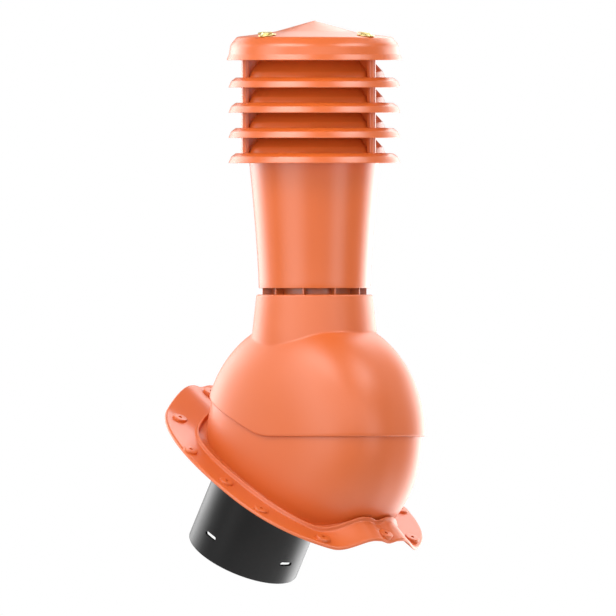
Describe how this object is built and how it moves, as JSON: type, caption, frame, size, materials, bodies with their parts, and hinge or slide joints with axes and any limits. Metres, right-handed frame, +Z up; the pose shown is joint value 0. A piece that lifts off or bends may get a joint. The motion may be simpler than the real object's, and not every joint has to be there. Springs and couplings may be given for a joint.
{
  "type": "roof ventilation chimney",
  "caption": "Roof vent with a tilting domed base on a wavy roof flange, a slanted connector pipe, a flared stack pipe and a louvred head under a rain cap.",
  "frame": {"origin": "where the axis of the connector pipe crosses the plane of the flange's underside, which lies on the roof", "axes": "+Z up along the upright stack, +X level and pointing down the roof slope, +Y across the roof; the flange is pitched 30 degrees down towards +X"},
  "size_m": [0.3082, 0.246, 0.6101],
  "materials": {
    "brick_plastic": "smooth moulded plastic, satin gloss",
    "black_plastic": "smooth, dull gloss",
    "yellow_zinc": "yellow zinc plating"
  },
  "bodies": {
    "base": {"base_plate": "brick_plastic", "connector_pipe": "black_plastic"},
    "stack": {"dome_shell": "brick_plastic", "neck_sleeve": "brick_plastic", "stack_pipe": "brick_plastic", "louvre_ring_1": "brick_plastic", "louvre_ring_2": "brick_plastic", "louvre_ring_3": "brick_plastic", "louvre_ring_4": "brick_plastic", "cap": "brick_plastic", "cap_screw_1": "yellow_zinc", "cap_screw_2": "yellow_zinc", "cap_screw_3": "yellow_zinc", "cap_screw_4": "yellow_zinc"}
  },
  "joints": [
    {"name": "roof_pitch", "type": "hinge", "parent": "base", "child": "stack", "pos_m": [0.05665, 0, 0.03612], "axis": [0, -1, 0], "range_deg": [-20, 7]}
  ]
}
